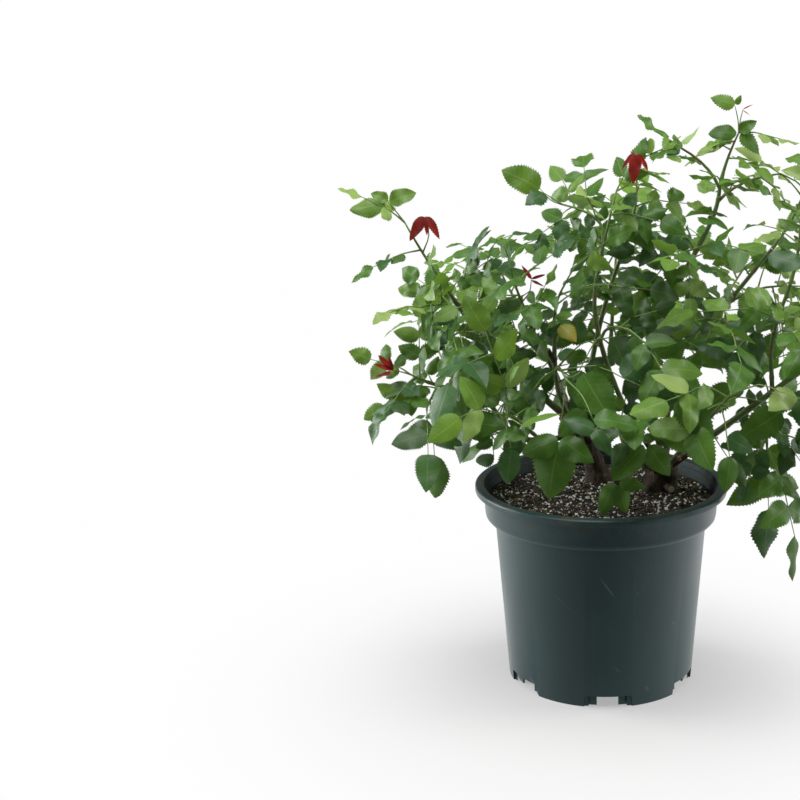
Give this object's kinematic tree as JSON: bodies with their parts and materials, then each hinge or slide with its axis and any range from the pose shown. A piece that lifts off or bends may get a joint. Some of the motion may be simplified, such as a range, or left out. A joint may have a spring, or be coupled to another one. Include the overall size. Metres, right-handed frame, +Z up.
{
  "type": "potted rose bush",
  "caption": "Leafy rose bush without flowers, with arching canes and compound toothed leaves, growing in a round tapered nursery pot filled with potting mix.",
  "frame": {"origin": "middle of the pot's flat underside, on the pot's upright axis", "axes": "+Z up along the pot's axis, -Y towards the front of the plant, +X to the right seen from the front"},
  "size_m": [0.5226, 0.4396, 0.5378],
  "materials": {
    "pot": "semi-gloss moulded dark green-black plastic",
    "soil": "matt, crumbly potting mix with pale grains",
    "bark": "matt, cracked brown bark",
    "cane": "satin green and brown cane with prickles",
    "foliage": "satin green leaf"
  },
  "bodies": {
    "root": {"pot": "pot", "soil": "soil", "left_trunk": "bark", "right_trunk": "bark", "low_left_cane": "cane", "upper_left_cane": "cane", "middle_left_cane": "cane", "centre_cane": "cane", "tall_centre_cane": "cane", "rear_centre_cane": "cane", "tall_right_cane": "cane", "right_cane": "cane", "far_right_cane": "cane", "right_side_cane": "cane", "rear_left_cane": "cane", "rear_cane": "cane", "rear_right_cane": "cane", "front_left_cane": "cane", "front_cane": "cane", "front_right_cane": "cane", "low_left_tip_foliage": "foliage", "low_left_hanging_foliage": "foliage", "low_left_inner_foliage": "foliage", "low_left_rear_foliage": "foliage", "upper_left_tip_foliage": "foliage", "upper_left_side_foliage": "foliage", "upper_left_rear_foliage": "foliage", "upper_left_front_foliage": "foliage", "middle_left_tip_foliage": "foliage", "middle_left_front_foliage": "foliage", "centre_tip_foliage": "foliage", "centre_front_foliage": "foliage", "tall_centre_left_foliage": "foliage", "tall_centre_right_foliage": "foliage", "tall_centre_front_foliage": "foliage", "rear_centre_tip_foliage": "foliage", "rear_centre_side_foliage": "foliage", "tall_right_tip_foliage": "foliage", "tall_right_arching_foliage": "foliage", "tall_right_side_foliage": "foliage", "tall_right_front_foliage": "foliage", "right_tip_foliage": "foliage", "right_rear_foliage": "foliage", "right_front_foliage": "foliage", "far_right_tip_foliage": "foliage", "far_right_hanging_foliage": "foliage", "far_right_front_foliage": "foliage", "far_right_rear_foliage": "foliage", "right_side_tip_foliage": "foliage", "right_side_front_foliage": "foliage", "rear_left_tip_foliage": "foliage", "rear_left_side_foliage": "foliage", "rear_tip_foliage": "foliage", "rear_side_foliage": "foliage", "rear_right_tip_foliage": "foliage", "front_left_tip_foliage": "foliage", "front_tip_foliage": "foliage", "front_right_tip_foliage": "foliage"}
  },
  "joints": []
}
